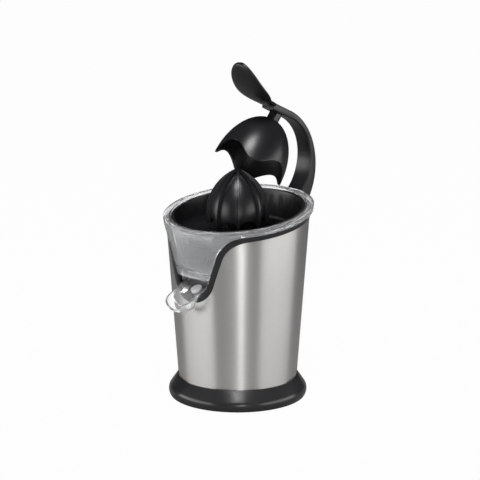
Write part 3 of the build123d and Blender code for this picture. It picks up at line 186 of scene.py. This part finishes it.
def brush_group():
    """Lines brushed round an upright axis: a mask of the lines and slow patches."""
    group = new_group("brushed round", {"Line Scale": 2600.0, "Run Scale": 5.0}, ["Line", "Patch"])
    nodes, links = group.nodes, group.links
    inside = nodes.new("NodeGroupInput")
    outside = nodes.new("NodeGroupOutput")
    place = nodes.new("ShaderNodeTexCoord")
    split = nodes.new("ShaderNodeSeparateXYZ")
    links.new(place.outputs["Object"], split.inputs["Vector"])
    angle = reckoned(group, "ARCTAN2", [split.outputs["X"], split.outputs["Y"]])
    run = reckoned(group, "MULTIPLY", [angle.outputs["Value"], inside.outputs["Run Scale"]])
    line = reckoned(group, "MULTIPLY", [split.outputs["Z"], inside.outputs["Line Scale"]])
    join = nodes.new("ShaderNodeCombineXYZ")
    links.new(run.outputs["Value"], join.inputs["X"])
    links.new(line.outputs["Value"], join.inputs["Y"])
    fine = nodes.new("ShaderNodeTexNoise")
    fine.inputs["Scale"].default_value = 1.0
    fine.inputs["Detail"].default_value = 4.0
    links.new(join.outputs["Vector"], fine.inputs["Vector"])
    patch = nodes.new("ShaderNodeTexNoise")
    patch.inputs["Scale"].default_value = 12.0
    patch.inputs["Detail"].default_value = 1.0
    links.new(place.outputs["Object"], patch.inputs["Vector"])
    links.new(fine.outputs["Fac"], outside.inputs["Line"])
    links.new(patch.outputs["Fac"], outside.inputs["Patch"])
    return group


moulded_grain = grain_group()
brushed_round = brush_group()


def spread(tree, source, low, high):
    """Map a mask between two values."""
    node = tree.nodes.new("ShaderNodeMapRange")
    node.inputs["To Min"].default_value = low
    node.inputs["To Max"].default_value = high
    tree.links.new(source, node.inputs["Value"])
    return node.outputs["Result"]


def two_tone(tree, source, dark, light):
    """Blend two colours by a mask."""
    node = tree.nodes.new("ShaderNodeMix")
    node.data_type = "RGBA"
    node.inputs[mix_first].default_value = (*dark, 1)
    node.inputs[mix_second].default_value = (*light, 1)
    tree.links.new(source, node.inputs[mix_share])
    return node.outputs[mix_colour]


def bumped(tree, shader, height, strength, distance):
    """Fine relief from a height."""
    node = tree.nodes.new("ShaderNodeBump")
    node.inputs["Strength"].default_value = strength
    node.inputs["Distance"].default_value = distance
    tree.links.new(height, node.inputs["Height"])
    tree.links.new(node.outputs["Normal"], shader.inputs["Normal"])


# Kinds of finish
def new_finish(name):
    """Material with one Principled shader."""
    material = bpy.data.materials.new(name)
    material.use_nodes = True
    tree = material.node_tree
    return material, tree, tree.nodes["Principled BSDF"]


def moulded(name, dark, light, rough, grain, relief, metallic=0.0, shine=0.5):
    """Moulded plastic or rubber, or cast metal, with a fine grain and slightly uneven gloss."""
    material, tree, shader = new_finish(name)
    pattern = tree.nodes.new("ShaderNodeGroup")
    pattern.node_tree = moulded_grain
    pattern.inputs["Scale"].default_value = grain
    pattern.inputs["Patch Scale"].default_value = 25.0
    patch = pattern.outputs["Patch"]
    tree.links.new(two_tone(tree, patch, dark, light), shader.inputs["Base Color"])
    tree.links.new(spread(tree, patch, *rough), shader.inputs["Roughness"])
    shader.inputs["Metallic"].default_value = metallic
    shader.inputs["Specular IOR Level"].default_value = shine
    bumped(tree, shader, pattern.outputs["Height"], relief, grain_depth)
    return material


def brushed(name, dark, light, rough, lines, relief, anisotropy=0.0):
    """Metal brushed round an upright axis."""
    material, tree, shader = new_finish(name)
    pattern = tree.nodes.new("ShaderNodeGroup")
    pattern.node_tree = brushed_round
    pattern.inputs["Line Scale"].default_value = lines
    shader.inputs["Metallic"].default_value = 1.0
    shader.inputs["Anisotropic"].default_value = anisotropy
    shader.inputs["Anisotropic Rotation"].default_value = 0.25
    tangent = tree.nodes.new("ShaderNodeTangent")
    tangent.direction_type = "RADIAL"
    tangent.axis = "Z"
    tree.links.new(tangent.outputs["Tangent"], shader.inputs["Tangent"])
    line = pattern.outputs["Line"]
    tree.links.new(two_tone(tree, line, dark, light), shader.inputs["Base Color"])
    tree.links.new(spread(tree, pattern.outputs["Patch"], *rough), shader.inputs["Roughness"])
    bumped(tree, shader, line, relief, brush_depth)
    return material


def clear(name, tint, rough):
    """Clear moulded plastic with faint flow marks."""
    material, tree, shader = new_finish(name)
    shader.inputs["Base Color"].default_value = (*tint, 1)
    shader.inputs["Transmission Weight"].default_value = 0.94
    shader.inputs["IOR"].default_value = 1.45
    pattern = tree.nodes.new("ShaderNodeGroup")
    pattern.node_tree = moulded_grain
    pattern.inputs["Scale"].default_value = 60.0
    pattern.inputs["Patch Scale"].default_value = 18.0
    tree.links.new(spread(tree, pattern.outputs["Patch"], *rough), shader.inputs["Roughness"])
    bumped(tree, shader, pattern.outputs["Height"], flow_relief, flow_depth)
    return material


# Finish of each material slot
finishes = {
    "black_gloss": moulded(
        "polished black",
        dark=(0.006, 0.006, 0.007),
        light=(0.010, 0.010, 0.011),
        rough=(0.28, 0.36),
        grain=900,
        relief=0.03,
        shine=0.3,
    ),
    "black_satin": moulded(
        "satin black",
        dark=(0.014, 0.014, 0.015),
        light=(0.022, 0.022, 0.023),
        rough=(0.20, 0.26),
        grain=1600,
        relief=0.03,
        shine=0.3,
    ),
    "foot_rubber": moulded(
        "rubber black",
        dark=(0.015, 0.015, 0.015),
        light=(0.03, 0.03, 0.03),
        rough=(0.6, 0.75),
        grain=2200,
        relief=0.12,
    ),
    "brushed_steel": brushed(
        "brushed steel",
        dark=(0.56, 0.549, 0.535),
        light=(0.675, 0.665, 0.651),
        rough=(0.30, 0.36),
        lines=2600,
        relief=0.06,
        anisotropy=0.85,
    ),
    "inner_plastic": moulded(
        "inner black",
        dark=(0.02, 0.02, 0.021),
        light=(0.035, 0.035, 0.036),
        rough=(0.4, 0.5),
        grain=1200,
        relief=0.05,
    ),
    "clear_plastic": clear("clear plastic", tint=(0.97, 0.98, 0.985), rough=(0.03, 0.09)),
    "seal_silicone": moulded(
        "silicone grey",
        dark=(0.55, 0.56, 0.57),
        light=(0.66, 0.67, 0.68),
        rough=(0.4, 0.5),
        grain=1500,
        relief=0.05,
    ),
    "fastener_steel": brushed(
        "bright steel",
        dark=(0.52, 0.52, 0.53),
        light=(0.66, 0.66, 0.67),
        rough=(0.22, 0.3),
        lines=3000,
        relief=0.05,
    ),
    "bush_brass": brushed(
        "machined brass",
        dark=(0.62, 0.46, 0.2),
        light=(0.74, 0.58, 0.3),
        rough=(0.25, 0.35),
        lines=3000,
        relief=0.05,
    ),
    "gear_plastic": moulded(
        "gear nylon",
        dark=(0.74, 0.72, 0.64),
        light=(0.82, 0.8, 0.73),
        rough=(0.4, 0.5),
        grain=1200,
        relief=0.05,
    ),
    "case_plastic": moulded(
        "case grey",
        dark=(0.12, 0.13, 0.14),
        light=(0.17, 0.18, 0.19),
        rough=(0.45, 0.55),
        grain=1400,
        relief=0.08,
    ),
    "cast_aluminium": moulded(
        "cast metal",
        dark=(0.5, 0.51, 0.52),
        light=(0.66, 0.67, 0.68),
        rough=(0.4, 0.55),
        grain=900,
        relief=0.2,
        metallic=1.0,
    ),
    "core_steel": brushed(
        "stacked sheet",
        dark=(0.16, 0.17, 0.19),
        light=(0.34, 0.35, 0.37),
        rough=(0.4, 0.5),
        lines=900,
        relief=0.3,
    ),
    "coil_copper": brushed(
        "wound copper",
        dark=(0.36, 0.13, 0.05),
        light=(0.66, 0.31, 0.14),
        rough=(0.3, 0.4),
        lines=700,
        relief=0.4,
    ),
    "button_plastic": moulded(
        "button red",
        dark=(0.5, 0.05, 0.04),
        light=(0.6, 0.08, 0.06),
        rough=(0.35, 0.45),
        grain=1200,
        relief=0.05,
    ),
}


def coat_frame():
    """Give each piece of the frame the finish of its slot."""
    for subpart in frame["record"]["subparts"]:
        node = frame["nodes"][subpart["node"]]
        finish = finishes[subpart["material_slot"]]
        if not node.data.materials:
            node.data.materials.append(finish)
        for index in range(len(node.data.materials)):
            node.data.materials[index] = finish


coat_frame()

slot_of = {subpart["node"]: subpart["material_slot"] for subpart in frame["record"]["subparts"]}
body_of = {}
for body, members in frame["record"]["behaviour"]["bodies"].items():
    for member in members:
        body_of[member] = body


# Moulded pieces with rounded edges
def plain_mesh(source, name):
    """Plain mesh of an object with its modifiers carried out."""
    depsgraph = bpy.context.evaluated_depsgraph_get()
    mesh = bpy.data.meshes.new_from_object(source.evaluated_get(depsgraph), depsgraph=depsgraph)
    mesh.name = name
    return mesh


def merged_copy(node_name):
    """Copy of a piece's mesh with its loose triangles joined into larger flat faces."""
    mesh = frame["nodes"][node_name].data.copy()
    shape = bmesh.new()
    shape.from_mesh(mesh)
    bmesh.ops.remove_doubles(shape, verts=shape.verts, dist=weld_distance)
    flat = math.radians(flat_angle)
    bmesh.ops.dissolve_limit(shape, angle_limit=flat, verts=shape.verts, edges=shape.edges)
    shape.to_mesh(mesh)
    shape.free()
    for mark in loader_marks:
        if mark in mesh.attributes:
            mesh.attributes.remove(mesh.attributes[mark])
    return mesh


def softened(node_name, edge_round):
    """The piece with its sharp edges rounded, in place of its plain solid."""
    piece = placed(node_name + "_finished", merged_copy(node_name))
    bevel = piece.modifiers.new("rounded edges", "BEVEL")
    bevel.limit_method = "ANGLE"
    bevel.angle_limit = math.radians(crease_angle)
    bevel.width = edge_round
    bevel.segments = bevel_steps
    bevel.use_clamp_overlap = True
    finished = plain_mesh(piece, node_name + "_finished")
    piece.modifiers.clear()
    piece.data = finished
    finished.shade_smooth()
    finished.set_sharp_from_angle(angle=math.radians(crease_angle))
    finished.materials.clear()
    finished.materials.append(finishes[slot_of[node_name]])
    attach(piece, body_of[node_name])
    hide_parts(node_name)
    return piece


def press_spring():
    """Return spring with its edges rounded, on a mesh of its own."""
    spring = softened("return_spring", spring_round)
    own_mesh(spring)


for node_name, edge_round in edge_rounds.items():
    softened(node_name, edge_round)
press_spring()


# Copper turns of the motor's coils
def new_tree(name, inputs):
    """Empty geometry tree with named inputs, and the identifier of each."""
    tree = bpy.data.node_groups.new(name, "GeometryNodeTree")
    tree.interface.new_socket("Geometry", in_out="OUTPUT", socket_type="NodeSocketGeometry")
    keys = {}
    for label, kind in inputs.items():
        keys[label] = tree.interface.new_socket(label, in_out="INPUT", socket_type=kind).identifier
    return tree, keys


def turns_tree():
    """Rings of wire in rows one above another."""
    tree, keys = new_tree(
        "wound turns",
        {
            "Turn Radius": "NodeSocketFloat",
            "Wire Radius": "NodeSocketFloat",
            "Rows": "NodeSocketInt",
            "Start": "NodeSocketVector",
            "Row Step": "NodeSocketVector",
            "Finish": "NodeSocketMaterial",
        },
    )
    nodes, links = tree.nodes, tree.links
    inside = nodes.new("NodeGroupInput")
    outside = nodes.new("NodeGroupOutput")
    turn = nodes.new("GeometryNodeCurvePrimitiveCircle")
    turn.inputs["Resolution"].default_value = turn_points
    links.new(inside.outputs["Turn Radius"], turn.inputs["Radius"])
    wire = nodes.new("GeometryNodeCurvePrimitiveCircle")
    wire.inputs["Resolution"].default_value = wire_points
    links.new(inside.outputs["Wire Radius"], wire.inputs["Radius"])
    ring = nodes.new("GeometryNodeCurveToMesh")
    links.new(turn.outputs["Curve"], ring.inputs["Curve"])
    links.new(wire.outputs["Curve"], ring.inputs["Profile Curve"])
    rows = nodes.new("GeometryNodeMeshLine")
    links.new(inside.outputs["Rows"], rows.inputs["Count"])
    links.new(inside.outputs["Start"], rows.inputs["Start Location"])
    links.new(inside.outputs["Row Step"], rows.inputs["Offset"])
    stacked = nodes.new("GeometryNodeInstanceOnPoints")
    links.new(rows.outputs["Mesh"], stacked.inputs["Points"])
    links.new(ring.outputs["Mesh"], stacked.inputs["Instance"])
    real = nodes.new("GeometryNodeRealizeInstances")
    links.new(stacked.outputs["Instances"], real.inputs["Geometry"])
    finish = nodes.new("GeometryNodeSetMaterial")
    links.new(real.outputs["Geometry"], finish.inputs["Geometry"])
    links.new(inside.outputs["Finish"], finish.inputs["Material"])
    links.new(finish.outputs["Geometry"], outside.inputs["Geometry"])
    return tree, keys


def grown(name, tree, keys, values):
    """Plain mesh that a geometry tree makes from a set of named values."""
    blank = placed(name, bpy.data.meshes.new(name))
    modifier = blank.modifiers.new("grown", "NODES")
    modifier.node_group = tree
    for label, value in values.items():
        modifier[keys[label]] = value
    mesh = plain_mesh(blank, name)
    bpy.data.objects.remove(blank)
    return mesh


def joined(name, meshes, finish):
    """One object from several meshes."""
    shape = bmesh.new()
    for mesh in meshes:
        shape.from_mesh(mesh)
        bpy.data.meshes.remove(mesh)
    bmesh.ops.recalc_face_normals(shape, faces=shape.faces)
    whole = bpy.data.meshes.new(name)
    shape.to_mesh(whole)
    shape.free()
    whole.shade_smooth()
    whole.materials.append(finish)
    return placed(name, whole)


def wind_coils():
    """Copper turns above and below the core, in place of the plain coil rings."""
    low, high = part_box("field_coils")
    core_low, core_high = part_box("stator_core")
    center_x = (low[0] + high[0]) / 2
    center_y = (low[1] + high[1]) / 2
    wire_width = 2 * wire_radius
    outer = (high[0] - low[0]) / 2 - wire_radius
    tree, keys = turns_tree()
    meshes = []
    for start, end in ((core_high[2], high[2]), (low[2], core_low[2])):
        rows = int((end - start) / wire_width)
        step = (end - start - wire_width) / (rows - 1)
        for layer in range(wire_layers):
            values = {
                "Turn Radius": outer - layer * wire_width,
                "Wire Radius": wire_radius,
                "Rows": rows,
                "Start": (center_x, center_y, start + wire_radius),
                "Row Step": (0, 0, step),
                "Finish": finishes["coil_copper"],
            }
            meshes.append(grown("turns", tree, keys, values))
    coils = joined("coil_turns", meshes, finishes["coil_copper"])
    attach(coils, "housing")
    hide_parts("field_coils")


wind_coils()


# Floor, surroundings, lamps and camera
def floor_mesh():
    """Sheet that runs from the floor up a round corner to a backdrop."""
    away = -outward(view_azimuth, 0)
    side = rightward(view_azimuth)
    corner = floor_reach - corner_radius
    profile = [(-floor_reach, 0.0), (corner, 0.0)]
    for step in range(1, corner_steps + 1):
        turn = math.pi / 2 * step / corner_steps
        profile.append((corner + corner_radius * math.sin(turn), corner_radius * (1 - math.cos(turn))))
    profile.append((floor_reach, wall_height))
    points = []
    for edge in (-floor_reach, floor_reach):
        points += [side * edge + away * run + Vector((0, 0, rise)) for run, rise in profile]
    count = len(profile)
    faces = [(k, k + count, k + count + 1, k + 1) for k in range(count - 1)]
    mesh = bpy.data.meshes.new("floor")
    mesh.from_pydata(points, [], faces)
    mesh.shade_smooth()
    return mesh


def floor_finish():
    """Grey that takes the object's light and is white to the camera and through clear pieces."""
    material, tree, shader = new_finish("pale floor")
    shader.inputs["Base Color"].default_value = (floor_grey, floor_grey, floor_grey, 1)
    shader.inputs["Roughness"].default_value = floor_roughness
    glow = tree.nodes.new("ShaderNodeEmission")
    glow.inputs["Color"].default_value = white
    rays = tree.nodes.new("ShaderNodeLightPath")
    seen = reckoned(tree, "MAXIMUM", [rays.outputs["Is Camera Ray"], rays.outputs["Is Transmission Ray"]])
    share = reckoned(tree, "MULTIPLY", [seen.outputs["Value"]])
    share.inputs[1].default_value = white_share
    mix = tree.nodes.new("ShaderNodeMixShader")
    tree.links.new(share.outputs["Value"], mix.inputs["Fac"])
    tree.links.new(shader.outputs["BSDF"], mix.inputs[1])
    tree.links.new(glow.outputs["Emission"], mix.inputs[2])
    tree.links.new(mix.outputs["Shader"], tree.nodes["Material Output"].inputs["Surface"])
    return material


def put_floor():
    """Floor and backdrop under and behind the object."""
    mesh = floor_mesh()
    floor = placed("floor", mesh)
    mesh.materials.append(floor_finish())


def put_world():
    """Dim even surroundings that are white behind clear pieces."""
    world = bpy.data.worlds.new("studio")
    bpy.context.scene.world = world
    world.use_nodes = True
    tree = world.node_tree
    backdrop = tree.nodes["Background"]
    backdrop.inputs["Color"].default_value = white
    rays = tree.nodes.new("ShaderNodeLightPath")
    strength = spread(tree, rays.outputs["Is Transmission Ray"], world_light, world_seen)
    tree.links.new(strength, backdrop.inputs["Strength"])


def put_lamp(name, turn, elevation, distance, width, height, power):
    """Soft rectangular lamp at a turn from the camera, which looks at the middle of the object."""
    data = bpy.data.lights.new(name, "AREA")
    data.shape = "RECTANGLE"
    data.size = width
    data.size_y = height
    data.energy = power
    middle = Vector((0, 0, aim_height))
    aimed(placed(name, data), middle, outward(view_azimuth + turn, elevation), distance)


def put_camera():
    """Camera at the photograph's angle, with a long lens."""
    data = bpy.data.cameras.new("camera")
    data.sensor_width = sensor_width
    data.lens = focal_pixels / frame_width * sensor_width
    data.clip_end = sight_limit
    camera = placed("camera", data)
    target = Vector((0, 0, aim_height)) + rightward(view_azimuth) * aim_right
    aimed(camera, target, outward(view_azimuth, view_elevation), view_distance)
    bpy.context.scene.camera = camera


put_floor()
put_world()
put_lamp("left lamp", turn=-76, elevation=6, distance=1.8, width=2.4, height=0.7, power=27)
put_lamp("front lamp", turn=6, elevation=6, distance=2.2, width=0.32, height=0.7, power=9)
put_lamp("right lamp", turn=72, elevation=6, distance=1.8, width=2.4, height=0.7, power=23)
put_lamp("top lamp", turn=-1, elevation=72, distance=1.8, width=0.6, height=0.6, power=32)
put_lamp("high lamp", turn=-1, elevation=50, distance=1.8, width=0.5, height=0.3, power=8)
put_camera()
bpy.context.scene.view_settings.view_transform = "Standard"
